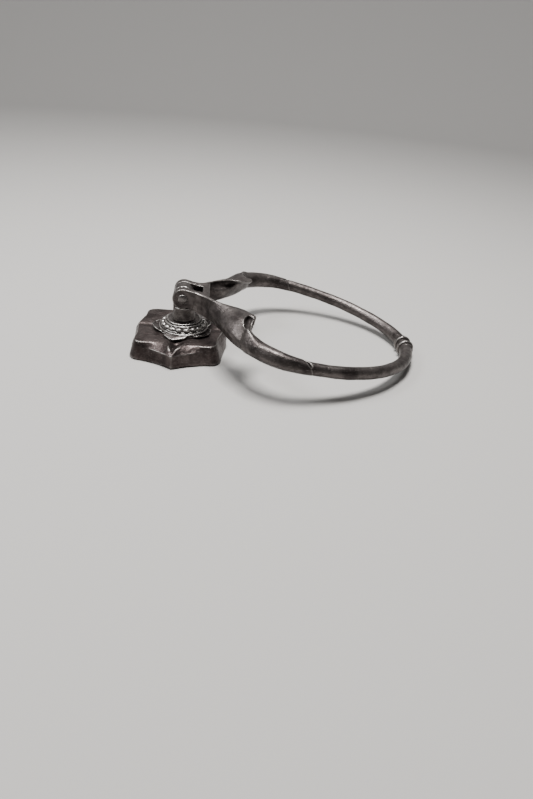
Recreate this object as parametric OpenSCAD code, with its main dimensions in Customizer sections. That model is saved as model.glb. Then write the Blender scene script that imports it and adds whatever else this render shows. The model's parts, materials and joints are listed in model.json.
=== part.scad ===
// Wrought iron door knocker: a shaped backplate with a stack of ornamental rings, a post whose
// tang passes through the door, and a heavy stirrup ring that swings on a riveted pin.
// Millimetres. The origin is the middle of the shank at the door's face. +Z points out of the door,
// +X towards the knop that strikes, and +Y along the hinge pin.

/* [Backplate] */
// Side of the square backplate, between its corners' outer edges
plate_w = 68; // [62:1:74]
// Height of the plate's upright edge
plate_edge = 11; // [8:0.5:12]
// How far the points in the middle of the near and far sides stand out
plate_point = 9.5; // [4:0.5:12]
// How far the points in the middle of the left and right sides stand out
plate_nib = 1.5; // [0:0.5:4]
// Radius of the plate's four corners
plate_corner = 8; // [4:0.5:12]
// Turn of the plate about the shank, as the smith left it
plate_turn = -6; // [-10:1:10]
// Height of the flat seat in the middle of the plate, where the ornament sits
seat_z = 13.8; // [13:0.2:15]

/* [Ornament] */
// Number of curled leaves around the post
leaf_count = 5; // [3:1:7]
// Reach of the leaves from the middle
leaf_reach = 24; // [22:0.5:26]
// Number of beads in the beaded ring
bead_count = 18; // [12:1:20]
// Radius of the circle through the beads
bead_circle = 16.2; // [15:0.1:17]

/* [Post and shank] */
// Diameter of the post at its foot
post_foot = 17.6; // [16:0.2:20]
// Thickness of the flat tongue that the fork straddles
tongue = 9.6; // [8:0.2:10]
// Diameter of the rounded eye on the tongue and on the fork
eye = 15.2; // [14:0.2:16]
// Diameter of the shank that passes through the door
shank = 10; // [8:0.5:10]
// Thickness of the door that the shank is made for
door = 40; // [30:1:50]

/* [Hinge] */
// Height of the pin's axis above the door
pin_z = 42; // [41:0.5:46]
// Diameter of the hinge pin
pin = 5.6; // [5:0.2:6.4]

/* [Ring] */
// Distance from the pin to the middle of the bar at the knop
ring_reach = 179; // [170:1:185]
// Half width of the ring, to the middle of the bar
ring_half = 75; // [70:1:80]
// Diameter of the ring's bar
bar = 9; // [8:0.5:10]
// Diameter of the knop's two bands
knop = 13.4; // [12:0.2:15]

/* [Hidden] */
$fn = 64;

// Fits
bore_play = 0.15;     // around the shank, in the plate and the rings
thread_play = 0.06;   // around the threaded end, in the nut
washer_play = 0.4;    // around the threaded end, in the washer
pin_play = 0.06;      // around the pin, in the tongue's eye
side_play = 0.4;      // between the tongue and each of the fork's cheeks

// Heights of the stack above the plate's seat
leaf_t = 1.4;
base_t = 2.8;
bead_t = 2.8;
collar_t = 2.2;
base_z = seat_z + leaf_t;
bead_z = base_z + base_t;
collar_z = bead_z + bead_t;
post_z = collar_z + collar_t;

// Plate
plate_middle = [-2.6, 2]; // the shank's hole is a little off the plate's middle
mound_r = 40;         // radius of the four mounds that raise the plate's quarters
mound_place = 19;     // where each mound's middle is, along X and Y
mound_top = 14.4;     // height of the mounds
seat_r = 20.5;
side_steps = 8;       // points along half of one side of the outline
corner_step = 15;     // degrees between points round a corner

// Shank: the ornaments are threaded on its thick upper part, which ends at the door's face
tang_r = 6;
bore_r = tang_r + bore_play;
shank_len = door - 0.5;   // the plain shank stops just short of the washer
thread_r = 4.5;
washer_t = 3;
washer_r = 14;
nut_w = 17;
nut_t = 8;
nut_chamfer_r = nut_w * 0.66;
thread_end = door + washer_t + nut_t + 5;

// Rings of the ornament
base_ring_r = 18.5;
collar_r = 13;
flange_r = 14.5;      // thin flange at the collar's foot
flange_t = 0.9;
bead_half = 2.55;     // half the length of a bead, along its circle
bead_narrow = 0.55;   // width of a bead as a share of its length
bead_low = 0.5;       // height of a bead as a share of its length
bead_core = bead_circle - 0.6;     // radius of the disc that carries the beads
bead_middle = bead_circle - 0.4;   // circle on which the beads' middles lie

// Leaves
leaf_spread = 58;     // degrees that one leaf takes up
leaf_lip = 3.4;       // height of a leaf's curled lip
leaf_lip_t = 0.8;     // thickness of the lip
leaf_root = leaf_reach - 5;   // where a leaf starts to rise
leaf_start = 9;       // where a leaf starts, inside the disc that joins the leaves
leaf_disc_r = seat_r - 2;

// Post
shoulder_z = pin_z - eye / 2 - 0.9;
neck_r = 8.1;
foot_t = 1.2;         // height of the post's foot before it narrows to the neck
foot_slope = 3.3;

// Fork, in the ring's own plane: X towards the knop, Z out of the plane
cheek = 5.8;
cheek_in = tongue / 2 + side_play;
cheek_out = cheek_in + cheek;
slot_end = 13.2;      // from the pin to the web that closes the fork
fork_end = 18.3;      // far face of the web, where the arms begin
fork_half = 15.4;     // half width of the fork at the web
arm_half = 8.2;       // half height of the fork at the web, where it meets the arms
fork_neck = 9.5;      // from the pin to the lowest point of the fork's upper edge
fork_over = 7;        // height of that point above the ring's plane
fork_under = 6;       // depth of the shank below the pin
rivet_r = 3.6;
rivet_t = 1.0;
rivet_edge = 0.4;     // step round the rivet's edge
rivet_hollow_r = 2.5; // radius of the hollow in the rivet's face
rivet_hollow = 0.3;   // its depth

// Drop of the ring, in degrees, where its knop rests on the door
drop = asin((pin_z - knop / 2 - 0.1) / ring_reach);

// Ring
egg_x = 82;           // where the ring is widest, from the pin
egg_near = 55.5;      // half length of the ring's near half
egg_far = ring_reach - egg_x;
egg_bend = 1.06;      // above 1 draws the ring in towards the knop
lap_angle = 84.6;     // egg angle where the arms end and the plain bar begins
sleeve_r = 6.2;       // radius of an arm where it has become round
lap_r = 5.6;          // radius of an arm at its end
knop_half = 8.5;      // half length of the knop
knop_seat = 4.8;      // radius of the bar inside the knop
bar_swell = 0.6;      // how much thicker the bar's radius gets towards the knop
band_place = 3.9;     // from the knop's middle to the middle of each band
band_w = 3.4;
band_round = 1.6;     // radius of a band's edge
fillet_place = 7.4;   // from the knop's middle to the middle of each fillet
fillet_w = 2.2;
fillet_r = 5.4;
waist_r = 5.2;
sides = 20;           // sides of every swept section
bar_steps = 30;

// The smith's iron, worn bright on the ring and darker on the plate
iron = [0.25, 0.24, 0.24];
iron_dark = [0.18, 0.17, 0.17];
iron_worn = [0.36, 0.35, 0.35];

// A point of the ring's centre line. The angle runs from 0 at the knop to 180 near the fork.
function egg(a) = let (c = cos(a), s = sin(a))
    [egg_x + c * (c < 0 ? egg_near : egg_far), ring_half * pow(s, c < 0 ? 1 : egg_bend), 0];
function unit(v) = v / norm(v);
function egg_heading(a) = let (d = egg(a - 0.5) - egg(a + 0.5)) atan2(d[1], d[0]);

// One oval section: its middle, heading, half height, half width, inward lean, and how much
// narrower it is at its bottom than at its top
function oval(middle, heading, high, wide, lean = 0, taper = 0) = let (
        inward = [sin(heading), -cos(heading), 0],
        tall = [0, 0, cos(lean)] + inward * sin(lean),
        flat = inward * cos(lean) - [0, 0, sin(lean)]
    )
    [
        for (i = [0 : sides - 1]) let (a = i * 360 / sides)
            middle + tall * high * cos(a) + flat * wide * sin(a) * (1 + taper * cos(a))
    ];

// A round section of the bar at an egg angle
function bar_section(a, r) = oval(egg(a), egg_heading(a), r, r);

// A closed solid through a list of sections
module sweep(sections) {
    last = len(sections) - 1;
    points = [for (s = sections) each s];
    walls = [
        for (j = [0 : last - 1], i = [0 : sides - 1])
            let (k = (i + 1) % sides, p = j * sides, q = p + sides)
            each [[p + i, q + i, p + k], [p + k, q + i, q + k]]
    ];
    first_cap = [for (i = [0 : sides - 1]) i];
    last_cap = [for (i = [sides - 1 : -1 : 0]) last * sides + i];
    polyhedron(points, concat([first_cap], walls, [last_cap]), convexity = 6);
}

// Puts something drawn in the ring's plane where the ring rests
module in_ring_plane() {
    translate([0, 0, pin_z]) rotate([0, drop, 0]) children();
}

// A cylinder along Y, centred on the pin's axis
module across(r, y0, y1) {
    translate([0, y0, 0]) rotate([-90, 0, 0]) cylinder(h = y1 - y0, r = r);
}

// The hole in the plate and in each ring of the ornament
module shank_bore() {
    translate([0, 0, -1]) cylinder(h = post_z + 2, r = bore_r);
}

// Half outline of a disc with a rounded rim
module disc_outline(r, h) {
    square([r - h / 2, h]);
    translate([r - h / 2, h / 2]) circle(d = h);
}

// The plate's outline: each side runs out to a point in its middle, and the corners are round
function turned(p, a) = [p[0] * cos(a) - p[1] * sin(a), p[0] * sin(a) + p[1] * cos(a)];
function plate_side(point) = let (edge = plate_w / 2, run = edge - plate_corner) [
    for (i = [-side_steps : side_steps]) let (u = i / side_steps)
        [run * u, -edge - point * pow(1 - abs(u), 1.5)]
];
function plate_corner_arc() = let (run = plate_w / 2 - plate_corner) [
    for (a = [corner_step - 90 : corner_step : -corner_step])
        [run + plate_corner * cos(a), plate_corner * sin(a) - run]
];
plate_outline = [
    for (q = [0 : 3])
        for (p = concat(plate_side(q % 2 == 0 ? plate_point : plate_nib), plate_corner_arc()))
            turned(p, 90 * q)
];

module backplate() {
    color(iron_dark) rotate([0, 0, plate_turn]) difference() {
        union() {
            translate(plate_middle) {
                linear_extrude(plate_edge) polygon(plate_outline);
                intersection() {
                    linear_extrude(seat_z + 1) polygon(plate_outline);
                    for (x = [-1, 1], y = [-1, 1])
                        translate([x * mound_place, y * mound_place, mound_top - mound_r])
                            sphere(r = mound_r, $fn = 96);
                }
            }
            cylinder(h = seat_z, r = seat_r);
        }
        translate([0, 0, seat_z]) cylinder(h = mound_top, r = seat_r);
        shank_bore();
    }
}

// Profile of one leaf: a flat root that rises into a curled lip
module leaf_profile() {
    polygon([[leaf_start, 0], [leaf_root, 0], [leaf_reach, leaf_lip - leaf_lip_t],
        [leaf_reach - leaf_lip_t, leaf_lip], [leaf_root - 0.2, leaf_t], [leaf_start, leaf_t]]);
}

module leaf_rosette() {
    step = 360 / leaf_count;
    color(iron_worn) translate([0, 0, seat_z]) difference() {
        union() {
            cylinder(h = leaf_t, r = leaf_disc_r);
            for (i = [0 : leaf_count - 1])
                rotate([0, 0, 180 + i * step - leaf_spread / 2])
                    rotate_extrude(angle = leaf_spread, $fn = 96) leaf_profile();
        }
        shank_bore();
    }
}

module base_ring() {
    color(iron) translate([0, 0, base_z]) difference() {
        rotate_extrude($fn = 96) disc_outline(base_ring_r, base_t);
        shank_bore();
    }
}

module bead_ring() {
    color(iron_worn) translate([0, 0, bead_z]) {
        difference() {
            cylinder(h = bead_t, r = bead_core);
            shank_bore();
        }
        for (i = [0 : bead_count - 1])
            rotate([0, 0, i * 360 / bead_count]) translate([bead_middle, 0, bead_t / 2])
                scale([bead_narrow, 1, bead_low]) sphere(r = bead_half, $fn = 14);
    }
}

module collar() {
    color(iron) translate([0, 0, collar_z]) difference() {
        rotate_extrude($fn = 96) {
            disc_outline(collar_r, collar_t);
            disc_outline(flange_r, flange_t);
        }
        shank_bore();
    }
}

// The shank, the foot and the round neck, turned in one
module post_outline() {
    polygon([
        [0, -thread_end], [thread_r, -thread_end], [thread_r, -shank_len], [shank / 2, -shank_len],
        [shank / 2, 0], [tang_r, 0], [tang_r, post_z], [post_foot / 2, post_z],
        [post_foot / 2, post_z + foot_t], [neck_r, post_z + foot_t + foot_slope],
        [neck_r, shoulder_z], [0, shoulder_z]
    ]);
}

module post() {
    neck_top = shoulder_z - 1;
    color(iron_dark) difference() {
        union() {
            rotate_extrude($fn = 96) post_outline();
            intersection() {
                translate([-neck_r, -tongue / 2, neck_top]) cube([2 * neck_r, tongue, 2 * eye]);
                union() {
                    translate([0, 0, pin_z]) across(eye / 2, -tongue, tongue);
                    translate([-eye / 2, -tongue, neck_top]) cube([eye, 2 * tongue, pin_z - neck_top]);
                }
            }
        }
        translate([0, 0, pin_z]) across(pin / 2 + pin_play, -tongue, tongue);
    }
}

module pivot_pin() {
    color(iron_worn) translate([0, 0, pin_z]) {
        across(pin / 2, -cheek_out, cheek_out);
        for (side = [-1, 1])
            rotate([-90 * side, 0, 0]) translate([0, 0, cheek_out]) rotate_extrude() difference() {
                union() {
                    square([rivet_r - rivet_edge, rivet_t]);
                    square([rivet_r, rivet_t - rivet_edge]);
                }
                translate([0, rivet_t + rivet_hollow_r - rivet_hollow]) circle(r = rivet_hollow_r);
            }
    }
}

// Seen from above: two cheeks that widen into the web
module fork_plan() {
    difference() {
        polygon([[-eye, -cheek_out], [8, -cheek_out], [fork_end, -fork_half], [fork_end, fork_half],
            [8, cheek_out], [-eye, cheek_out]]);
        translate([-2 * eye, -cheek_in]) square([2 * eye + slot_end, 2 * cheek_in]);
    }
}

// The fork seen from its side: the round eye, and a shank that deepens towards the arms
module fork_side() {
    circle(d = eye);
    polygon([
        [0, -fork_under], [fork_neck, -fork_under - 0.6], [fork_end, -arm_half],
        [fork_end, arm_half - 0.5], [fork_neck, fork_over], [0, fork_over + 0.6]
    ]);
}

module fork() {
    color(iron) in_ring_plane() difference() {
        intersection() {
            linear_extrude(3 * arm_half, center = true) fork_plan();
            rotate([90, 0, 0]) linear_extrude(4 * fork_half, center = true) fork_side();
        }
        across(pin / 2, -30, 30);
    }
}

// The stations of one arm, from the web to the lap over the bar: the section's middle, its
// heading, its half height, half width, inward lean and taper. The arm starts as an upright cheek
// and spreads into a broad leaf that leans inwards, then closes into a round sleeve.
arm_stations = [
    [fork_end, 11.4, -0.2, 0, 7.9, 4.1, 0, 0],
    [21.6, 17, 0.3, 52, 8.2, 4.2, 2, 0.1],
    [26, 22.8, 0.3, 57, 8.8, 4.4, 6, 0.3],
    [31.8, 28.8, 0.6, 58, 10, 5.4, 22, 0.5],
    [38, 35, 0.6, 58, 11.4, 7.4, 35, 0.6],
    [42, 41.8, 0.8, 58, 11.4, 8.2, 36, 0.6],
    [44.6, 48.5, 0.2, 58, 9.2, 7.6, 30, 0.4],
    [47.6, 55.6, -0.2, 59, 6.9, 6.6, 14, 0.1]
];
station_steps = 3;    // sections between two stations
hollow_place = [30.5, 20.5, 4.8];    // middle of the hollow along the inside of an arm
hollow_size = [15, 6.5, 4.8];
hollow_turn = 28;
mouth_place = [45.6, 46.2, 9.6];      // middle of the mouth at an arm's end
mouth_size = [9.5, 3.8, 6.2];
mouth_turn = 90;

// A smooth value between b and c, with a and d as their neighbours
function smooth(a, b, c, d, t) =
    b + t * (c - a + t * (2 * a - 5 * b + 4 * c - d + t * (3 * b - 3 * c + d - a))) / 2;
function station(i) = arm_stations[max(0, min(len(arm_stations) - 1, i))];
arm_sections = [
    for (i = [0 : len(arm_stations) - 2], j = [0 : station_steps - 1])
        let (v = smooth(station(i - 1), station(i), station(i + 1), station(i + 2), j / station_steps))
            oval([v[0], v[1], v[2]], v[3], v[4], v[5], v[6], v[7]),
    for (a = [122 : -6 : 92]) bar_section(a, sleeve_r + (lap_r - sleeve_r) * (128 - a) / 44),
    bar_section(lap_angle, lap_r)
];

module arm() {
    difference() {
        sweep(arm_sections);
        // The hollow of the leaf, open towards the inside of the ring
        translate(hollow_place) rotate([0, 0, hollow_turn]) scale(hollow_size) sphere(r = 1, $fn = 32);
        // The mouth at the leaf's end, from which the bar comes out
        translate(mouth_place) rotate([0, 0, mouth_turn]) scale(mouth_size) sphere(r = 1, $fn = 28);
    }
}

module near_arm() {
    color(iron_worn) in_ring_plane() mirror([0, 1, 0]) arm();
}

module far_arm() {
    color(iron_worn) in_ring_plane() arm();
}

// Half of the plain bar, from an arm's lap to the knop's end face
module half_bar() {
    knop_angle = asin(pow(knop_half / ring_half, 1 / egg_bend));
    step = (lap_angle - knop_angle) / bar_steps;
    swept = [
        for (i = [0 : bar_steps - 1]) let (a = lap_angle - i * step)
            bar_section(a, bar / 2 + bar_swell * pow(i / bar_steps, 3))
    ];
    end = egg(knop_angle);
    sweep(concat(swept, [oval([end[0], knop_half, 0], -90, bar / 2 + bar_swell, bar / 2 + bar_swell)]));
}

module ring_bar() {
    color(iron) in_ring_plane() {
        half_bar();
        mirror([0, 1, 0]) half_bar();
        translate([ring_reach, 0, 0]) across(knop_seat, -knop_half - 1, knop_half + 1);
    }
}

// Two bands with a waist between them and a small fillet at each end
module knop_outline() {
    band_r = knop / 2;
    translate([0, -knop_half]) square([waist_r, 2 * knop_half]);
    for (side = [-1, 1]) {
        translate([0, side * band_place - band_w / 2]) square([band_r - band_round, band_w]);
        translate([band_r - band_round, side * band_place]) circle(r = band_round);
        translate([0, side * fillet_place - fillet_w / 2]) square([fillet_r, fillet_w]);
    }
}

module knop_collar() {
    color(iron_worn) in_ring_plane() translate([ring_reach, 0, 0]) rotate([-90, 0, 0])
        rotate_extrude() difference() {
            knop_outline();
            translate([-knop, -knop]) square([knop + knop_seat, 2 * knop]);
        }
}

module backing_washer() {
    color(iron) translate([0, 0, -door - washer_t]) difference() {
        cylinder(h = washer_t, r = washer_r);
        translate([0, 0, -1]) cylinder(h = washer_t + 2, r = thread_r + washer_play);
    }
}

module square_nut() {
    color(iron_dark) translate([0, 0, -door - washer_t - nut_t]) difference() {
        intersection() {
            translate([-nut_w / 2, -nut_w / 2, 0]) cube([nut_w, nut_w, nut_t]);
            cylinder(h = nut_t, r = nut_chamfer_r);
        }
        translate([0, 0, -1]) cylinder(h = nut_t + 2, r = thread_r + thread_play);
    }
}

backplate();
leaf_rosette();
base_ring();
bead_ring();
collar();
post();
pivot_pin();
fork();
near_arm();
far_arm();
ring_bar();
knop_collar();
backing_washer();
square_nut();
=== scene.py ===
"""A wrought iron door knocker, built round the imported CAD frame. Metres, +Z out of the door."""
import json
import math

import bpy
import numpy as np
from mathutils import Matrix, Vector, noise


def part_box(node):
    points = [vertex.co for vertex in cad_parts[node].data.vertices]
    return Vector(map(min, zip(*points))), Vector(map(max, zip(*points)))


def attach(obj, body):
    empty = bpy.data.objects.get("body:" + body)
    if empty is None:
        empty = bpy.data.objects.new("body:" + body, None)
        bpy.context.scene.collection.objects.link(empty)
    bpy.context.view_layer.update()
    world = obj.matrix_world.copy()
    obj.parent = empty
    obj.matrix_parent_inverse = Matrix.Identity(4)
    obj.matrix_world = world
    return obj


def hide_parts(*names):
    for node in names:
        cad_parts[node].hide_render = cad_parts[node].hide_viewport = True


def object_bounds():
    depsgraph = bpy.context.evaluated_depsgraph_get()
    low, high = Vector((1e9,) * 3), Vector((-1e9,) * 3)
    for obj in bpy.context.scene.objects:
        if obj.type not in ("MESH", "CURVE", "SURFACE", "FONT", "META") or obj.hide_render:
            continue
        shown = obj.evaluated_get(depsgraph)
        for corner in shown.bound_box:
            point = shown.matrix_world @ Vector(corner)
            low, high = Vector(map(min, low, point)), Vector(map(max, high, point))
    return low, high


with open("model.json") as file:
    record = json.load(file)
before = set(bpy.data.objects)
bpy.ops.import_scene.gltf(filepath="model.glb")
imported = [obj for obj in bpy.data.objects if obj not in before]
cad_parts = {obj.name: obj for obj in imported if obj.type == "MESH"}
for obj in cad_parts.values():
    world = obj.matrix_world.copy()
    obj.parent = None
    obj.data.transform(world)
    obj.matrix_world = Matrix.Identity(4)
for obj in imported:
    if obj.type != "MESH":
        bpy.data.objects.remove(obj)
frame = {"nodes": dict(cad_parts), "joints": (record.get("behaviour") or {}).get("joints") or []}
CAD_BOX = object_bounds()
MM = 0.001

# ---------------------------------------------------------------- places, from the frame
PIN = Vector(next(j["pos_m"] for j in frame["joints"] if j["name"] == "ring_swing"))
PIN_LOW, PIN_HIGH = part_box("pivot_pin")
KNOP_LOW, KNOP_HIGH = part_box("knop_collar")
KNOP = (KNOP_LOW + KNOP_HIGH) / 2
ROSETTE_LOW, ROSETTE_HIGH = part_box("leaf_rosette")
SEAT = ROSETTE_LOW.z
BASE_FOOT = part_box("base_ring")[0].z
BEADS_LOW, BEADS_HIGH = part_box("bead_ring")
PLATE_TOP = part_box("backplate")[1].z
BORE = 6.15    # mm, the bore's radius through the rings under the post
BORE_R = BORE * MM


# ---------------------------------------------------------------- mesh helpers
def new_piece(name, verts, faces):
    """An object from points and faces, smooth shaded."""
    mesh = bpy.data.meshes.new(name)
    mesh.from_pydata([tuple(v) for v in verts], [], faces)
    mesh.validate()
    mesh.shade_smooth()
    piece = bpy.data.objects.new(name, mesh)
    bpy.context.scene.collection.objects.link(piece)
    return piece


def points_of(piece):
    """A piece's points, one row each."""
    co = np.empty(len(piece.data.vertices) * 3)
    piece.data.vertices.foreach_get("co", co)
    return co.reshape(-1, 3)


def set_points(piece, co):
    """Moves a piece's points to the given rows."""
    piece.data.vertices.foreach_set("co", np.ascontiguousarray(co).ravel())
    piece.data.update()


def normals_of(piece):
    """A piece's point normals, one row each."""
    no = np.empty(len(piece.data.vertices) * 3)
    piece.data.vertex_normals.foreach_get("vector", no)
    return no.reshape(-1, 3)


def edges_of(piece):
    """The two points of each edge."""
    e = np.empty(len(piece.data.edges) * 2, np.int32)
    piece.data.edges.foreach_get("vertices", e)
    return e.reshape(-1, 2)


def ring_faces(rings, sides):
    """Quads over a grid that closes both ways round."""
    faces = []
    for i in range(rings):
        for j in range(sides):
            a, b = (i + 1) % rings, (j + 1) % sides
            faces.append((i * sides + j, a * sides + j, a * sides + b, i * sides + b))
    return faces


def turned_solid(name, profile, turns):
    """A closed profile of (radius, height) turned about Z."""
    verts = []
    for i in range(turns):
        a = 2 * math.pi * i / turns
        verts += [(r * math.cos(a), r * math.sin(a), z) for r, z in profile]
    return new_piece(name, verts, ring_faces(turns, len(profile)))


def rounded(corners, radius, steps=5):
    """A closed outline through the corners, each turned with a round of that radius."""
    out = []
    n = len(corners)
    for i, corner in enumerate(corners):
        p = Vector(corner)
        before, after = Vector(corners[i - 1]) - p, Vector(corners[(i + 1) % n]) - p
        reach = min(radius, before.length / 2.1, after.length / 2.1)
        a, b = p + before.normalized() * reach, p + after.normalized() * reach
        for s in range(steps + 1):
            t = s / steps
            out.append(tuple(a * (1 - t) ** 2 + p * 2 * t * (1 - t) + b * t ** 2))
    return out


def dense(outline, step):
    """The same closed outline with a point at least every step."""
    out = []
    for i, p in enumerate(outline):
        a, b = Vector(p), Vector(outline[(i + 1) % len(outline)])
        count = max(1, math.ceil((b - a).length / step))
        out += [tuple(a.lerp(b, k / count)) for k in range(count)]
    return out


def relax(piece, passes):
    """Rounds edges off, as a hammer and a file do. A pass moves points half way to their neighbours."""
    edges = edges_of(piece)
    co = points_of(piece)
    count = np.bincount(edges.ravel(), minlength=len(co))[:, None]
    for _ in range(passes):
        total = np.zeros_like(co)
        np.add.at(total, edges[:, 0], co[edges[:, 1]])
        np.add.at(total, edges[:, 1], co[edges[:, 0]])
        co += (total / count - co) / 2
    set_points(piece, co)


def dent(piece, depth, size, seed):
    """Soft unevenness along the normals, from the hammer."""
    co, no = points_of(piece), normals_of(piece)
    shift = Vector((seed * 7.3, seed * 3.1, seed * 5.7))
    push = np.array([noise.noise(Vector(p) / size + shift) for p in co])
    set_points(piece, co + no * (push * depth)[:, None])


def flip_if_needed(piece):
    """Turns the faces round where the solid came out inside out."""
    co = points_of(piece)
    volume = 0.0
    for f in piece.data.polygons:
        v = [co[i] for i in f.vertices]
        for k in range(1, len(v) - 1):
            volume += np.dot(v[0], np.cross(v[k], v[k + 1]))
    if volume < 0:
        piece.data.flip_normals()


def keep_above(piece, height):
    """Lifts every point that lies lower up to a height."""
    co = points_of(piece)
    co[:, 2] = np.maximum(co[:, 2], height)
    set_points(piece, co)


BEND_LENGTH = 2 * MM    # curvature is counted per this length
# How bent a surface has to be before it counts as worn or hollow, and how much more makes it fully so;
# hollows get painted shade
WEAR_FROM, WEAR_SPAN = 0.12, 0.5
CAVITY_FROM, CAVITY_SPAN = 0.02, 0.35


def mark_wear(piece, blur=3):
    """Stores how proud (wear) and how hollow (cavity) each point is, for the material, which paints shade
    into the hollows.
    """
    co, no, edges = points_of(piece), normals_of(piece), edges_of(piece)
    a, b = edges[:, 0], edges[:, 1]
    span = co[b] - co[a]
    length = np.einsum("ij,ij->i", span, span) + 1e-12
    bend_a = -np.einsum("ij,ij->i", span, no[a]) / length
    bend_b = np.einsum("ij,ij->i", span, no[b]) / length
    count = np.bincount(edges.ravel(), minlength=len(co))
    bend = (np.bincount(a, bend_a, len(co)) + np.bincount(b, bend_b, len(co))) / count
    for _ in range(blur):
        around = (np.bincount(a, bend[b], len(co)) + np.bincount(b, bend[a], len(co))) / count
        bend = (bend + around) / 2
    bend *= BEND_LENGTH
    wear = (bend - WEAR_FROM) / WEAR_SPAN
    cavity = (-bend - CAVITY_FROM) / CAVITY_SPAN
    for name, value in (("wear", wear), ("cavity", cavity)):
        layer = piece.data.attributes.new(name, "FLOAT", "POINT")
        layer.data.foreach_set("value", np.clip(value, 0, 1).astype(np.float32))


def forging(name, nodes, voxel, passes, extra=()):
    """One smooth body made of copies of CAD nodes, and of extra pieces, which it takes in."""
    bpy.ops.object.select_all(action="DESELECT")
    copies = []
    for node in nodes:
        copy = frame["nodes"][node].copy()
        copy.data = copy.data.copy()
        copy.parent = None
        for key in list(copy.keys()):
            del copy[key]
        bpy.context.scene.collection.objects.link(copy)
        copies.append(copy)
    copies += list(extra)
    for copy in copies:
        copy.select_set(True)
    bpy.context.view_layer.objects.active = copies[0]
    if len(copies) > 1:
        bpy.ops.object.join()
    piece = bpy.context.view_layer.objects.active
    piece.name = name
    piece.data.name = name
    piece.data.materials.clear()
    remesh = piece.modifiers.new("skin", "REMESH")
    remesh.mode = "VOXEL"
    remesh.voxel_size = voxel
    bpy.ops.object.modifier_apply(modifier=remesh.name)
    relax(piece, passes)
    piece.data.shade_smooth()
    return piece


# ---------------------------------------------------------------- the ring's two arms
# Nine lines run along an arm from the cheek to the round bar. Each is a list of points in the ring's own
# plane, in millimetres: out from the pin, sideways, and up out of the plane. They were listed one by one,
# with places judged in the photograph and turned into this plane as a guide.
ARM_LINES = {
    "rim": [(5, 6, 6.8), (12, 8, 7.2), (17.6, 14.3, 8), (22.6, 19, 8.7), (27.5, 22.3, 9.2), (32, 24.2, 9.7),
            (36.2, 25.5, 10), (40, 26.3, 10.1), (43.7, 27.4, 10.1), (47.8, 31.2, 10.2), (51.2, 36, 10.2),
            (48.6, 42, 6.8), (49.2, 50.6, 5.4)],
    "roof": [(5, 8.5, 7.1), (11.6, 9.8, 7.4), (16.6, 14.9, 8), (21.9, 19.9, 8.7), (26.3, 23.6, 9.2),
             (29.8, 26.4, 9.6), (33.2, 28.6, 10), (36.8, 31, 10.5), (40, 34.5, 10.8), (43.4, 38.5, 10.8),
             (46.5, 43, 10.2), (46, 47, 8.4), (47.4, 54.6, 7.6)],
    "crest": [(5, 10.7, 6.7), (11, 11.5, 6.8), (15.6, 15.4, 6.9), (21, 20.6, 7.5), (25, 24.8, 7.6),
              (28, 28.4, 7.6), (30.6, 32, 7.8), (33.3, 36.4, 8.2), (36.2, 40.8, 8.8), (39, 45, 9.3),
              (41.8, 49.2, 9.3), (43.2, 52.5, 9), (45.2, 58.2, 8)],
    "ridge": [(5, 11, 0), (11, 11.8, 0.9), (16.4, 16, 1.4), (21.3, 23.1, 0.1), (25.4, 30, -0.6),
              (28, 37, -0.2), (30, 42, 0), (32.6, 47.2, 0), (35.2, 51.6, -0.2), (37.9, 55.2, -0.6),
              (40.8, 58.2, -1.2), (42.3, 60, -1.8), (43.5, 62.5, -2)],
    "keel": [(5, 10.6, -6.4), (12, 11.2, -6.9), (18.8, 16.8, -7.8), (24.2, 21.8, -8), (28, 27.3, -8.4),
             (31.3, 32.2, -8.6), (33.9, 36.7, -8.8), (37.2, 42.4, -8.8), (40, 47.2, -8.6), (43, 51.6, -8.3),
             (46, 56, -7.6), (47.5, 58.6, -7.2), (48.3, 60.6, -6.8)],
    "belly": [(5, 8, -6.6), (12.3, 8.5, -7.2), (19.6, 14, -6.6), (25.4, 18.6, -5.8), (30.5, 22.5, -5.4),
              (34.6, 27.6, -5), (38, 33, -5), (42, 39.5, -5.2), (45.4, 45.5, -5.2), (47.8, 49.5, -4.8),
              (50.8, 53, -4.2), (50.2, 53, -4.4), (51.6, 56.4, -4.6)],
    "sill": [(5, 6, -6), (12.6, 6.5, -6), (18.6, 12.8, 1.2), (23.6, 15.2, 1.6), (28.6, 18.2, 1.8),
             (32.8, 22.6, 2.3), (36.5, 27.4, 3), (41, 32.8, 4.6), (45.2, 36.4, 6), (48.6, 39.5, 5),
             (50.6, 42.6, 4), (49.8, 46.6, 0.4), (51.6, 53, -0.8)],
    "floor": [(5, 5.8, 0), (12.6, 6, 0), (18, 13.5, 4), (22.8, 17.4, 4.2), (27.2, 21, 4.2),
              (30.8, 24.9, 4.6), (34.2, 28.6, 5.2), (39, 31.2, 6.2), (43.8, 33, 7), (48, 35.6, 6.6),
              (51, 39.4, 5.8), (49.4, 44.2, 3.2), (51, 51.8, 1.8)],
    "under": [(5, 5.9, 5), (12.6, 6, 5.5), (17.3, 14.3, 6.6), (22, 19.4, 7), (26.5, 22.9, 7.2),
              (30.6, 25.5, 7.6), (34.7, 27.2, 8), (38.6, 28.2, 8.1), (43, 29, 8.1), (47.6, 32.4, 8.1),
              (51.2, 36.9, 8), (48.9, 42.8, 5.4), (50, 51, 4)],
}
# Where those nine lines lie round the bar once it is round, in degrees up from its inner side
BAR_ANGLES = (62, 88, 128, 192, 252, 300, 338, 8, 36)
EGG = {"x": 82, "near": 55.5, "far": 97, "half": 75, "bend": 1.06}    # as in the CAD
# Each sleeve round the bar, as egg angles and radii in mm
SLEEVE = ((122, 6.5), (115, 6.3), (107, 6), (99, 5.6), (92, 5.15))
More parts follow.
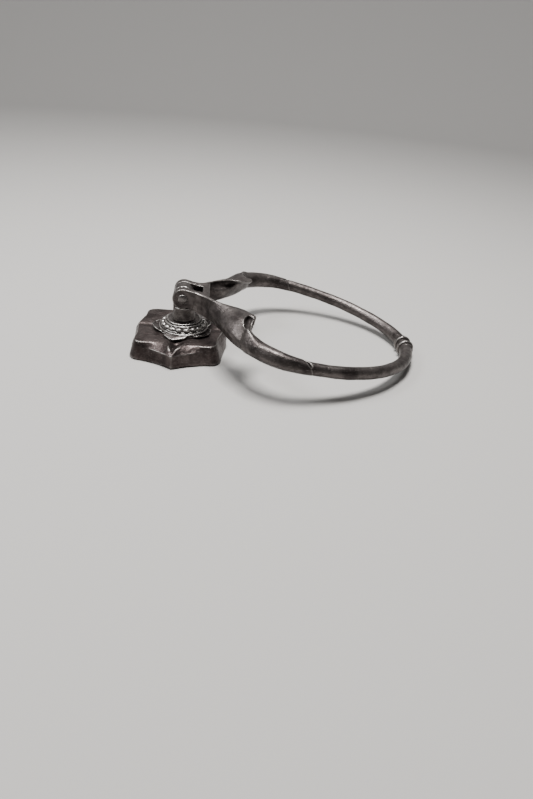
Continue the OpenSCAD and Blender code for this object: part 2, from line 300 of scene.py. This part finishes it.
# Where an arm ends on the bar: its egg angle on the near (-1) and far (+1) side, its radius and how far
# its end slants, in mm, and the direction round the bar in which it is shortest, in degrees
LAPS = {-1: 86.4, 1: 84.8}
LAP_R, LAP_SLANT, LAP_SHORT = 4.8, 3, 60
LAP_END = ((0, 1), (0.5, 0.97), (0.9, 0.88), (1.1, 0.7))    # the rounded end: mm on, share of LAP_R
LINE_STEPS, ROUND_STEPS = 8, 5    # curve steps between two points, along an arm and round it
# The hollow under each arm's hood, and the groove along a lap, in mm and degrees
MOUTHS = {
    -1: {"centre": (45.9, 45.6, 10), "radii": (9.2, 3.5, 5), "heading": 98},
    1: {"centre": (47, 43.4, 10), "radii": (7, 2.8, 3.4), "heading": 98},
}
NOTCH = {"centre": (87.4, 77, 4.5), "radii": (6.5, 0.85, 2.4), "heading": 46}
FORGED_VOXEL = 0.36 * MM    # how finely the arms and the bar are remeshed
# How steeply the ring's plane drops from the pin to the knop at rest, in radians
DROP = math.asin((PIN.z - KNOP.z) / (Vector((KNOP.x, KNOP.z)) - Vector((PIN.x, PIN.z))).length)


def egg(angle):
    """The ring's centre line in its own plane, in mm. 0 degrees is at the knop."""
    c, s = math.cos(math.radians(angle)), math.sin(math.radians(angle))
    reach = EGG["near" if c < 0 else "far"]
    bend = 1 if c < 0 else EGG["bend"]
    return Vector((EGG["x"] + c * reach, EGG["half"] * s ** bend, 0))


def bar_points(angle, radius, degrees):
    """Points round the bar at an egg angle, counted up from its inner side."""
    ahead = (egg(angle - 0.5) - egg(angle + 0.5)).normalized()
    inward = Vector((ahead.y, -ahead.x, 0))
    out = []
    for d in degrees:
        a = math.radians(d)
        out.append(egg(angle) + (inward * math.cos(a) + Vector((0, 0, math.sin(a)))) * radius)
    return out


def curve_through(points, steps, closed=False):
    """A Catmull-Rom curve through points, with that many steps between two."""
    n = len(points)
    at = (lambda i: points[i % n]) if closed else (lambda i: points[max(0, min(n - 1, i))])
    out = []
    for i in range(n if closed else n - 1):
        a, b, c, d = (Vector(at(i + k)) for k in (-1, 0, 1, 2))
        for k in range(steps):
            t = k / steps
            out.append(b + t * (c - a + t * (2 * a - 5 * b + 4 * c - d + t * (3 * b - 3 * c + d - a))) / 2)
    if not closed:
        out.append(Vector(points[-1]))
    return out


def ring_place(side):
    """From the ring's own plane in mm to the CAD frame in metres, for the far (+1) or near (-1) side."""
    turn = Matrix.Rotation(DROP, 4, "Y")
    return Matrix.Translation(PIN) @ turn @ Matrix.Diagonal((MM, side * MM, MM, 1))


def loft(name, sections, place):
    """A closed solid through sections of the same number of points."""
    count = len(sections[0])
    verts = [p for section in sections for p in section]
    faces = []
    for i in range(len(sections) - 1):
        for j in range(count):
            k = (j + 1) % count
            faces.append((i * count + j, (i + 1) * count + j, (i + 1) * count + k, i * count + k))
    faces += [tuple(range(count)), tuple(reversed(range(len(verts) - count, len(verts))))]
    piece = new_piece(name, verts, faces)
    piece.data.transform(place)
    flip_if_needed(piece)
    return piece


def make_arm(side):
    """A curled leaf that grows out of the cheek, closes into a sleeve round the bar and ends in a lap."""
    stations = [list(points) for points in zip(*ARM_LINES.values())]
    stations += [bar_points(angle, radius, BAR_ANGLES) for angle, radius in SLEEVE]
    lines = [curve_through(line, LINE_STEPS) for line in zip(*stations)]
    sections = [curve_through(list(points), ROUND_STEPS, closed=True) for points in zip(*lines)]
    lap = LAPS[side]
    ahead = (egg(lap) - egg(lap + 1)).normalized()
    turned = [(unwound(i), 0, 0) for i in range(len(BAR_ANGLES) + 1)]
    around = [d.x for d in curve_through(turned, ROUND_STEPS)][:-1]
    for step, shrink in LAP_END:
        end = []
        for degrees in around:
            slant = LAP_SLANT * math.cos(math.radians(degrees - LAP_SHORT))
            end.append(bar_points(lap, LAP_R * shrink, [degrees])[0] - ahead * (slant - step))
        sections.append(end)
    return loft("arm", sections, ring_place(side))


def unwound(i):
    """The i-th of the bar angles, with whole turns added so that they keep growing."""
    count = len(BAR_ANGLES)
    turns = sum(1 for k in range(1, i + 1) if BAR_ANGLES[k % count] < BAR_ANGLES[(k - 1) % count])
    return BAR_ANGLES[i % count] + 360 * turns


def gouge(piece, side, centre, radii, heading):
    """Cuts an oval hollow into a piece, placed in the ring's own plane in mm."""
    bpy.ops.mesh.primitive_uv_sphere_add(segments=48, ring_count=24, radius=1)
    cutter = bpy.context.object
    turn = Matrix.Rotation(math.radians(heading), 4, "Z")
    place = ring_place(side) @ Matrix.Translation(centre) @ turn
    cutter.data.transform(place @ Matrix.Diagonal((*radii, 1)))
    if side < 0:
        cutter.data.flip_normals()
    cut = piece.modifiers.new("cut", "BOOLEAN")
    cut.object = cutter
    cut.operation = "DIFFERENCE"
    cut.solver = "EXACT"
    bpy.context.view_layer.objects.active = piece
    bpy.ops.object.modifier_apply(modifier=cut.name)
    bpy.data.objects.remove(cutter)


def make_yoke():
    """The fork and its two leaf arms, which are one forging, with their mouths and lap grooves cut."""
    arms = [make_arm(side) for side in (-1, 1)]
    for arm, side in zip(arms, (-1, 1)):
        gouge(arm, side, **MOUTHS[side])
        gouge(arm, side, **NOTCH)
    yoke = forging("fork_and_leaf_arms", ["fork"], FORGED_VOXEL, 7, arms)
    dent(yoke, 0.25 * MM, 9 * MM, 15)
    dent(yoke, 0.08 * MM, 2.5 * MM, 16)
    return finish_piece(yoke, "ring", ["fork", "near_arm", "far_arm"], RING_IRON, 4)


# ---------------------------------------------------------------- materials
def node_at(tree, kind, **inputs):
    """A shader node with its inputs set by name."""
    made = tree.nodes.new(kind)
    for key, value in inputs.items():
        made.inputs[key.replace("_", " ")].default_value = value
    return made


def iron(name, dark, mid, bright, roughness, grain, worn):
    """Forged iron: painted shade darkens its hollows, burnished where it stands proud, with filed lines and
    pits.

    grain is how strong the relief is, and worn how bright the proud places are.
    """
    material = bpy.data.materials.new(name)
    material.use_nodes = True
    tree = material.node_tree
    link = tree.links.new
    shader = tree.nodes["Principled BSDF"]
    place = tree.nodes.new("ShaderNodeTexCoord")

    def noise_at(scale, detail, rough=0.55, stretch=(1, 1, 1)):
        mapping = node_at(tree, "ShaderNodeMapping", Scale=stretch)
        link(place.outputs["Object"], mapping.inputs["Vector"])
        texture = node_at(tree, "ShaderNodeTexNoise", Scale=scale, Detail=detail, Roughness=rough)
        link(mapping.outputs["Vector"], texture.inputs["Vector"])
        return texture.outputs["Fac"]

    def ramp(source, low, high, a=0.0, b=1.0):
        made = tree.nodes.new("ShaderNodeMapRange")
        made.interpolation_type = "SMOOTHSTEP"
        for index, value in enumerate((low, high, a, b)):
            made.inputs[index + 1].default_value = value
        link(source, made.inputs[0])
        return made.outputs[0]

    def sums(kind, a, b):
        made = tree.nodes.new("ShaderNodeMath")
        made.operation = kind
        for index, value in enumerate((a, b)):
            if isinstance(value, (int, float)):
                made.inputs[index].default_value = value
            else:
                link(value, made.inputs[index])
        return made.outputs[0]

    def mix(factor, a, b):
        made = tree.nodes.new("ShaderNodeMix")
        made.data_type = "RGBA"
        link(factor, made.inputs[0])
        for socket, value in ((made.inputs[6], a), (made.inputs[7], b)):
            if isinstance(value, tuple):
                socket.default_value = (*value, 1)
            else:
                link(value, socket)
        return made.outputs[2]

    def stored(layer):
        made = tree.nodes.new("ShaderNodeAttribute")
        made.attribute_name = layer
        return made.outputs["Fac"]

    cloud = noise_at(70, 4)
    blotch = noise_at(240, 5, 0.65)
    speck = noise_at(1500, 3, 0.6)
    lines = noise_at(700, 4, 0.7, (0.35, 2.2, 2.2))
    cross = noise_at(620, 3, 0.6, (2.4, 0.4, 2.0))
    proud = sums("MULTIPLY", ramp(stored("wear"), 0.0, 0.75), ramp(blotch, 0.3, 0.62, 0.35, 1.0))
    # The hollows: they get painted shade in the colour and more roughness
    shaded_hollows = ramp(stored("cavity"), 0.0, 0.8)

    colour = mix(ramp(cloud, 0.35, 0.65), dark, mid)
    colour = mix(ramp(blotch, 0.42, 0.66, 0.0, 0.55), colour, tuple(0.6 * c for c in dark))
    colour = mix(sums("MULTIPLY", proud, worn), colour, bright)
    colour = mix(ramp(lines, 0.55, 0.75, 0.0, 0.3), colour, bright)
    # Painted shade: the hollows are darkened towards a third of the dark colour
    colour = mix(sums("MULTIPLY", shaded_hollows, 0.85), colour, tuple(0.35 * c for c in dark))
    link(colour, shader.inputs["Base Color"])

    patches = ramp(blotch, 0.3, 0.7, roughness - 0.07, roughness + 0.1)
    rough = sums("ADD", patches, ramp(speck, 0.3, 0.7, -0.04, 0.06))
    rough = sums("SUBTRACT", rough, sums("MULTIPLY", proud, 0.1))
    rough = sums("ADD", rough, sums("MULTIPLY", shaded_hollows, 0.25))
    link(rough, shader.inputs["Roughness"])
    shader.inputs["Metallic"].default_value = 0.9

    pits = ramp(noise_at(420, 2, 0.5), 0.28, 0.42, 0.0, 1.0)
    height = sums("ADD", sums("MULTIPLY", lines, 0.5), sums("MULTIPLY", cross, 0.35))
    height = sums("ADD", height, sums("MULTIPLY", pits, 0.5))
    height = sums("ADD", height, sums("MULTIPLY", speck, 0.35))
    bump = node_at(tree, "ShaderNodeBump", Strength=grain, Distance=0.35 * MM)
    link(height, bump.inputs["Height"])
    link(bump.outputs["Normal"], shader.inputs["Normal"])
    return material


PLATE_IRON = iron("plate_iron", dark=(0.03, 0.022, 0.021), mid=(0.085, 0.068, 0.065),
                  bright=(0.5, 0.48, 0.46), roughness=0.4, grain=0.6, worn=0.5)
WORKED_IRON = iron("worked_iron", dark=(0.04, 0.032, 0.031), mid=(0.125, 0.112, 0.108),
                   bright=(0.6, 0.58, 0.56), roughness=0.35, grain=0.4, worn=0.65)
RING_IRON = iron("ring_iron", dark=(0.04, 0.033, 0.032), mid=(0.115, 0.101, 0.097),
                 bright=(0.46, 0.44, 0.42), roughness=0.37, grain=0.65, worn=0.35)
PIN_IRON = iron("pin_iron", dark=(0.09, 0.08, 0.078), mid=(0.18, 0.167, 0.162),
                bright=(0.6, 0.58, 0.56), roughness=0.33, grain=0.2, worn=0.7)
HIDDEN_IRON = iron("hidden_iron", dark=(0.1, 0.093, 0.089), mid=(0.19, 0.18, 0.175),
                   bright=(0.55, 0.53, 0.52), roughness=0.38, grain=0.4, worn=0.6)


def finish_piece(piece, body, nodes, material, blur=3):
    """Holds a piece inside the CAD box, gives it wear, material and body, and hides the CAD nodes it stands
    for.
    """
    set_points(piece, np.clip(points_of(piece), CAD_BOX[0], CAD_BOX[1]))
    mark_wear(piece, blur)
    piece.data.materials.append(material)
    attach(piece, body)
    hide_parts(*nodes)
    return piece


# ---------------------------------------------------------------- backplate
PLATE_TURN = math.radians(-6)    # the plate is turned a little on the door
PLATE_EDGE = 10.3 * MM      # height of the wall, where the bevels start
PLATE_FLAT_R = 17 * MM      # the petals run in to here, under the rosette
CROWN_GAP = 0.5 * MM        # how far below the top of the CAD plate the bevels end
FOOT_ROUND = 0.9 * MM
HOLE_R = BORE_R + 1 * MM    # the plate's own hole is a little wider than the rings' bore
HOLE_CHAMFER = 0.4 * MM
# How far the wall leans in at a groove, how much more beside it, in mm, and from how many degrees on
DRAFT, DRAFT_MORE, DRAFT_FROM = 0.7, 1.9, 28
# How wide the bevels are, how much more on the near and far side, in mm, and where: at this many degrees
# from a groove, over this many to each side
BEVEL, BEVEL_MORE, BEVEL_AT, BEVEL_OVER = 2, 6.4, 18, 15
BEVEL_LESS = 0.75           # share of BEVEL_MORE on one side of a groove
SWELL, SWELL_RUN = 0.5 * MM, 14 * MM         # how far a petal bulges, and over what length
GROOVE, GROOVE_MORE = 0.9, 1.7               # mm deep, and how much deeper on the near and far side
GROOVE_WIDE, GROOVE_WIDER = 0.9 * MM, 0.2    # its width at the rim, and what each length inwards adds
GROOVE_RISE = 2.5 * MM                       # how far in it reaches its depth
GROOVE_END, GROOVE_FADE = 20 * MM, 5 * MM    # the radius where it ends, and the length it fades over


def plate_outline():
    """The plate's radius from the shank as a function of the angle, read off its CAD node."""
    low = np.array([v.co for v in frame["nodes"]["backplate"].data.vertices])
    on_door = np.abs(low[:, 2]) < 1e-6
    outside_hole = np.hypot(low[:, 0], low[:, 1]) > 2 * BORE_R
    low = low[on_door & outside_hole]
    angle = np.arctan2(low[:, 1], low[:, 0])
    order = np.argsort(angle)
    angle, radius = angle[order], np.hypot(low[:, 0], low[:, 1])[order]
    middle = (low.min(0) + low.max(0)) / 2
    return lambda a: np.interp(a, angle, radius, period=2 * math.pi), middle


def make_backplate():
    """Four petals that rise from a bevelled edge, with a groove between each two."""
    outline, middle = plate_outline()
    turns, steps = 360, 64
    bore = [(HOLE_R + HOLE_CHAMFER, SEAT), (HOLE_R, SEAT - HOLE_CHAMFER), (HOLE_R, 5 * MM), (HOLE_R, 0)]
    verts = []
    for i in range(turns):
        a = 2 * math.pi * i / turns
        rim = float(outline(a))
        from_middle = math.atan2(rim * math.sin(a) - middle[1], rim * math.cos(a) - middle[0]) - PLATE_TURN
        side = (math.degrees(from_middle) + 45) % 90 - 45    # degrees from the nearest groove
        near_far = math.sin(from_middle) ** 4                # 1 on the near and far side, 0 left and right
        share = 1 if side * math.sin(from_middle) > 0 else BEVEL_LESS
        draft = (DRAFT + DRAFT_MORE * min(1, abs(side) / DRAFT_FROM)) * MM
        top_rim = rim - draft
        beside = math.exp(-((abs(side) - BEVEL_AT) / BEVEL_OVER) ** 2)
        bevel = (BEVEL + BEVEL_MORE * near_far * share * beside) * MM
        wall = [(rim * 0.5, 0), (rim - FOOT_ROUND, 0), (rim - 0.25 * MM, 0.25 * MM), (rim, FOOT_ROUND)]
        wall += [(rim - draft * t, PLATE_EDGE * t) for t in (0.3, 0.5, 0.7, 0.85)]
        wall.append((top_rim + 0.15 * MM, PLATE_EDGE - 0.5 * MM))
        top = []
        for k in range(steps):
            r = top_rim + (PLATE_FLAT_R - top_rim) * (k / (steps - 1)) ** 1.25
            inward = top_rim - r
            petal = math.sin(min(1, inward / bevel) * math.pi / 2) ** 1.2
            z = PLATE_EDGE + (PLATE_TOP - CROWN_GAP - PLATE_EDGE) * petal
            z += SWELL * math.sin(min(1, inward / SWELL_RUN) * math.pi) * petal
            off_line = abs(r * math.sin(math.radians(side)))
            groove = math.exp(-(off_line / (GROOVE_WIDE + GROOVE_WIDER * inward)) ** 2)
            groove *= min(1, inward / GROOVE_RISE)
            fade = min(1, max(0, (r - GROOVE_END) / GROOVE_FADE))
            z -= (GROOVE + GROOVE_MORE * near_far) * MM * groove * fade
            top.append((r, min(z, PLATE_TOP)))
        for r, z in wall + top + bore:
            verts.append((r * math.cos(a), r * math.sin(a), z))
    plate = new_piece("backplate_forged", verts, ring_faces(turns, len(verts) // turns))
    flip_if_needed(plate)
    relax(plate, 2)
    dent(plate, 0.4 * MM, 9 * MM, 1)
    dent(plate, 0.16 * MM, 2.5 * MM, 2)
    keep_above(plate, 0)
    return finish_piece(plate, "root", ["backplate"], PLATE_IRON, 3)


# ---------------------------------------------------------------- ornament
LEAF_START = 12 * MM        # where the leaves leave the disc
LEAF_SHEET = 1.15 * MM      # their thickness
LEAF_SPREAD = 31            # half their width, in degrees round the post
DISC_R = 18.5 * MM
LEAVES, FIRST_LEAF = 5, 36  # how many, and the first one's direction in degrees
DROOPING, DROOP_BY = 3, 0.75    # which one droops, counted from 0, and by how much


def make_leaf(angle, droop):
    """One leaf of the rosette. It curls up at its tip, or over and down where it droops."""
    reach = ROSETTE_HIGH.y
    top = ROSETTE_HIGH.z - SEAT
    rows, cols = 22, 20
    sections = []
    for i in range(rows + 1):
        v = i / rows    # 0 at the disc, 1 at the tip
        spread = math.radians(LEAF_SPREAD) * math.sqrt(max(0.02, 1 - max(0, (v - 0.35) / 0.66) ** 2.4))
        upper, lower = [], []
        for k in range(cols + 1):
            u = 2 * k / cols - 1    # from one edge, -1, to the other, 1
            r = LEAF_START + (reach - LEAF_START) * (v - 0.1 * u * u * v)
            rise = math.sin(min(1, v / 0.62) * math.pi / 2) ** 2 * 0.78 if droop else v ** 3
            fall = droop * max(0, (v - 0.58) / 0.42) ** 1.8
            cup = (0.25 - droop * 0.35) * u * u * v
            z = LEAF_SHEET + (top - LEAF_SHEET) * max(0, rise - fall + cup)
            a = angle + spread * u
            place = Vector((r * math.cos(a), r * math.sin(a), SEAT + min(z, top)))
            upper.append(place)
            lower.append(place - Vector((0, 0, min(LEAF_SHEET, z))))
        sections.append(upper + lower[::-1])
    return loft("leaf", sections, Matrix.Identity(4))


def make_rosette():
    """Five leaves round the post. The one that faces the near side droops."""
    corners = [(BORE_R, SEAT), (DISC_R, SEAT), (DISC_R, BASE_FOOT), (BORE_R, BASE_FOOT)]
    disc = turned_solid("leaf_disc", corners, 120)
    flip_if_needed(disc)
    leaves = []
    for i in range(LEAVES):
        angle = math.radians(FIRST_LEAF + 360 / LEAVES * i)
        leaves.append(make_leaf(angle, DROOP_BY if i == DROOPING else 0))
    rosette = forging("leaf_rosette_curled", [], 0.26 * MM, 3, [disc] + leaves)
    dent(rosette, 0.3 * MM, 4 * MM, 3)
    dent(rosette, 0.1 * MM, 1.6 * MM, 5)
    keep_above(rosette, SEAT)
    return finish_piece(rosette, "root", ["leaf_rosette"], WORKED_IRON, 2)


OUTLINE_STEP = 0.7 * MM
# Outlines of the turned rings: radius in mm, and height as a share of the ring's
BASE_CORNERS = [(BORE, 0), (17.6, 0), (18.7, 0.35), (18.5, 0.75), (17.2, 0.8), (16.9, 1.0), (BORE, 1.0)]
COLLAR_CORNERS = [(BORE, 0), (14.2, 0), (14.5, 0.3), (13.9, 0.5), (12.4, 0.45), (13.0, 0.75), (12.4, 1.0),
                  (BORE, 1.0)]


def make_ring(name, node, corners, radius, seed):
    """A turned ring between its CAD node's heights, with the given outline in shares of its height."""
    low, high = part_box(node)
    tall = high.z - low.z
    outline = rounded([(r * MM, low.z + h * tall) for r, h in corners], radius)
    ring = turned_solid(name, dense(outline, OUTLINE_STEP), 240)
    flip_if_needed(ring)
    dent(ring, 0.22 * MM, 5 * MM, seed)
    dent(ring, 0.08 * MM, 1.6 * MM, seed + 1)
    return finish_piece(ring, "root", [node], WORKED_IRON, 1)


BEADS = 18
BEAD_R, BEAD_LONG = 1.75 * MM, 2.55 * MM    # half a bead's width, and half its length round the ring
BEAD_UNEVEN = 0.08
CHANNEL_R = 16.6 * MM


def make_beads():
    """A ring of oval beads, as tall as their CAD node and each a little different in size."""
    half_tall = (BEADS_HIGH.z - BEADS_LOW.z) * 0.5
    middle_z = (BEADS_LOW.z + BEADS_HIGH.z) / 2
    rows, cols = 14, 20
    verts, faces = [], []
    for b in range(BEADS):
        a = 2 * math.pi * b / BEADS
        size = 1 + BEAD_UNEVEN * noise.noise(Vector((b * 1.7, 3.1, 0.4)))
        out = Vector((math.cos(a), math.sin(a), 0))
        along = Vector((-math.sin(a), math.cos(a), 0))
        middle = out * (BEADS_HIGH.x - BEAD_R) + Vector((0, 0, middle_z))
        first = len(verts)
        for r in range(rows + 1):
            p = math.pi * r / rows
            for c in range(cols):
                q = 2 * math.pi * c / cols
                up = Vector((0, 0, math.sin(p) * math.sin(q) * half_tall))
                local = out * (math.sin(p) * math.cos(q) * BEAD_R) + up
                verts.append(middle + (local + along * (math.cos(p) * BEAD_LONG)) * size)
        for r in range(rows):
            for c in range(cols):
                d = (c + 1) % cols
                faces.append((first + r * cols + c, first + (r + 1) * cols + c,
                              first + (r + 1) * cols + d, first + r * cols + d))
    return new_piece("beads", verts, faces)


def make_bead_ring():
    """The beads on a channelled ring."""
    low, high = BEADS_LOW.z, BEADS_HIGH.z
    outline = rounded([(BORE_R, low), (CHANNEL_R, low), (CHANNEL_R, low + 0.5 * MM),
                       (15.0 * MM, low + 0.9 * MM), (14.4 * MM, high), (BORE_R, high)], 0.4 * MM)
    channel = turned_solid("bead_channel", dense(outline, OUTLINE_STEP), 240)
    ring = forging("bead_ring_chased", [], 0.22 * MM, 1, [channel, make_beads()])
    dent(ring, 0.12 * MM, 2 * MM, 8)
    return finish_piece(ring, "root", ["bead_ring"], WORKED_IRON, 1)


# ---------------------------------------------------------------- post, pin and ring
def make_post():
    """The post, with its edges softened."""
    post = forging("post_forged", ["post"], 0.4 * MM, 3)
    dent(post, 0.18 * MM, 5 * MM, 11)
    return finish_piece(post, "root", ["post"], WORKED_IRON)


# Half of a pin head, in mm: radius, and how far below the pin's end
PIN_DOME = ((0.02, 0), (0.9, 0.05), (1.8, 0.22), (2.6, 0.5), (3.2, 0.8), (3.6, 0.98))
PIN_NECK = 0.8 * MM    # how much smaller the pin's radius is than its heads'


def make_pin():
    """The pin, with a hammered head at each end."""
    body = (PIN_HIGH.z - PIN_LOW.z) / 2 - PIN_NECK
    half = [(r * MM, PIN_HIGH.y - drop * MM) for r, drop in PIN_DOME]
    half += [(body, PIN_HIGH.y - 1.0 * MM), (body, 3 * MM)]
    profile = half + [(r, -z) for r, z in reversed(half)]
    pin = turned_solid("pivot_pin_riveted", dense(profile, 0.6 * MM), 72)
    flip_if_needed(pin)
    pin.data.transform(Matrix.Translation(PIN) @ Matrix.Rotation(math.radians(-90), 4, "X"))
    dent(pin, 0.08 * MM, 3 * MM, 13)
    return finish_piece(pin, "ring", ["pivot_pin"], PIN_IRON, 1)


BAR_START, BAR_STOP = 92, 5    # egg angles: inside the sleeve, and inside the knop
BAR_R, BAR_SWELL = 4.5, 0.13   # mm at the sleeve, and the share added towards the knop
BAR_SIDES = 28
CORE_R = 4.9 * MM


def make_bar():
    """The plain bar, which starts inside the arms' sleeves and thickens towards the knop."""
    turn = [360 * k / BAR_SIDES for k in range(BAR_SIDES)]
    count = 150
    sections = []
    for i in range(count + 1):
        a = BAR_START + (BAR_STOP - BAR_START) * i / count
        swell = 1 + BAR_SWELL * (i / count) ** 3
        sections.append(bar_points(a, BAR_R * swell, turn))
    halves = [loft("half_bar", sections, ring_place(side)) for side in (-1, 1)]
    for half, side in zip(halves, (-1, 1)):
        gouge(half, side, **NOTCH)
    bar = forging("ring_bar_forged", [], FORGED_VOXEL, 3, halves + [bar_core()])
    dent(bar, 0.3 * MM, 12 * MM, 17)
    dent(bar, 0.07 * MM, 2.5 * MM, 18)
    return finish_piece(bar, "ring", ["ring_bar"], RING_IRON)


def bar_core():
    """The stretch of bar inside the knop, which joins the two halves."""
    half = (KNOP_HIGH.y - KNOP_LOW.y) / 2
    axis_r = 0.01 * MM
    corners = [(axis_r, -half), (CORE_R, -half), (CORE_R, half), (axis_r, half)]
    core = turned_solid("core", corners, BAR_SIDES)
    core.data.transform(Matrix.Translation(KNOP) @ Matrix.Rotation(math.radians(-90), 4, "X"))
    flip_if_needed(core)
    return core


def make_knop():
    """Two raised bands with a deep waist between them."""
    knop = forging("knop_banded", ["knop_collar"], 0.22 * MM, 3)
    dent(knop, 0.15 * MM, 3 * MM, 19)
    return finish_piece(knop, "ring", ["knop_collar"], RING_IRON, 2)


def make_fastening():
    """The washer and the nut behind the door."""
    for node, seed in (("backing_washer", 21), ("square_nut", 23)):
        piece = forging(node + "_plain", [node], 0.35 * MM, 2)
        dent(piece, 0.1 * MM, 3 * MM, seed)
        finish_piece(piece, "fastening", [node], HIDDEN_IRON, 2)


# ---------------------------------------------------------------- floor, light and camera
def make_floor():
    """A plain pale sheet: the floor where the door's face is, which curves up into a wall all round."""
    flat, round_r, tall = 1.6, 0.7, 2.4
    arc_steps = 24
    arc = [math.pi / 2 * k / arc_steps for k in range(arc_steps + 1)]
    profile = [(0.01, 0)] + [(flat + round_r * math.sin(a), round_r * (1 - math.cos(a))) for a in arc]
    profile.append((flat + round_r, tall))
    turns = 96
    verts = []
    for i in range(turns):
        a = 2 * math.pi * i / turns
        verts += [(r * math.cos(a), r * math.sin(a), z) for r, z in profile]
    count = len(profile)
    faces = [tuple(i * count for i in range(turns))]
    for i in range(turns):
        j = (i + 1) % turns
        for k in range(count - 1):
            faces.append((i * count + k, j * count + k, j * count + k + 1, i * count + k + 1))
    floor = new_piece("floor", verts, faces)
    material = bpy.data.materials.new("floor_paint")
    material.use_nodes = True
    shader = material.node_tree.nodes["Principled BSDF"]
    shader.inputs["Base Color"].default_value = (0.36, 0.35, 0.34, 1)
    shader.inputs["Roughness"].default_value = 0.85
    floor.data.materials.append(material)


def add_light(name, place, aim, size, power, colour):
    """A soft rectangular lamp, in metres and watts, turned towards a point."""
    data = bpy.data.lights.new(name, "AREA")
    data.shape = "RECTANGLE"
    data.size, data.size_y = size
    data.energy = power
    data.color = colour
    lamp = bpy.data.objects.new(name, data)
    lamp.location = place
    lamp.rotation_euler = (Vector(aim) - Vector(place)).to_track_quat("-Z", "Y").to_euler()
    bpy.context.scene.collection.objects.link(lamp)


def make_lights():
    """A soft light overhead, a weak one from the left, and one on the wall behind."""
    add_light("overhead_soft", (0.02, 0.06, 1.1), (0.06, 0, 0.02), (0.5, 0.3), 30, (1, 0.99, 0.97))
    add_light("left_soft", (-0.7, -0.1, 0.8), (0.07, 0, 0.02), (0.3, 0.3), 6, (0.98, 0.99, 1))
    add_light("wall_wash", (0.0, 0.9, 2.2), (0.1, 2.3, 0.9), (2.4, 0.5), 34, (1, 1, 1))
    world = bpy.data.worlds.new("studio")
    world.use_nodes = True
    world.node_tree.nodes["Background"].inputs["Color"].default_value = (0.9, 0.92, 0.95, 1)
    world.node_tree.nodes["Background"].inputs["Strength"].default_value = 0.15
    bpy.context.scene.world = world


CAMERA_PLACE = (0.0247, -0.3886, 0.2)
CAMERA_HEADING, CAMERA_TILT, CAMERA_ROLL = 6.48, 32.46, 5.31    # degrees right, down and askew
CAMERA_LENS = 24.78


def make_camera():
    """A camera above the near side, looking down and a little to the right, held slightly askew."""
    heading, tilt, roll = (math.radians(d) for d in (CAMERA_HEADING, CAMERA_TILT, CAMERA_ROLL))
    ahead = math.cos(tilt)
    forward = Vector((math.sin(heading) * ahead, math.cos(heading) * ahead, -math.sin(tilt)))
    level = Vector((math.cos(heading), -math.sin(heading), 0))
    right = level * math.cos(roll) + level.cross(forward) * math.sin(roll)
    up = right.cross(forward)
    data = bpy.data.cameras.new("camera")
    data.lens = CAMERA_LENS
    data.clip_start = 0.01
    camera = bpy.data.objects.new("camera", data)
    axes = Matrix((right, up, -forward)).transposed()
    camera.matrix_world = Matrix.Translation(CAMERA_PLACE) @ axes.to_4x4()
    bpy.context.scene.collection.objects.link(camera)
    bpy.context.scene.camera = camera


make_camera()
make_floor()
make_lights()
make_backplate()
make_rosette()
make_ring("base_ring_turned", "base_ring", BASE_CORNERS, 0.5 * MM, 4)
make_bead_ring()
make_ring("collar_turned", "collar", COLLAR_CORNERS, 0.35 * MM, 9)
make_post()
make_pin()
make_yoke()
make_bar()
make_knop()
make_fastening()
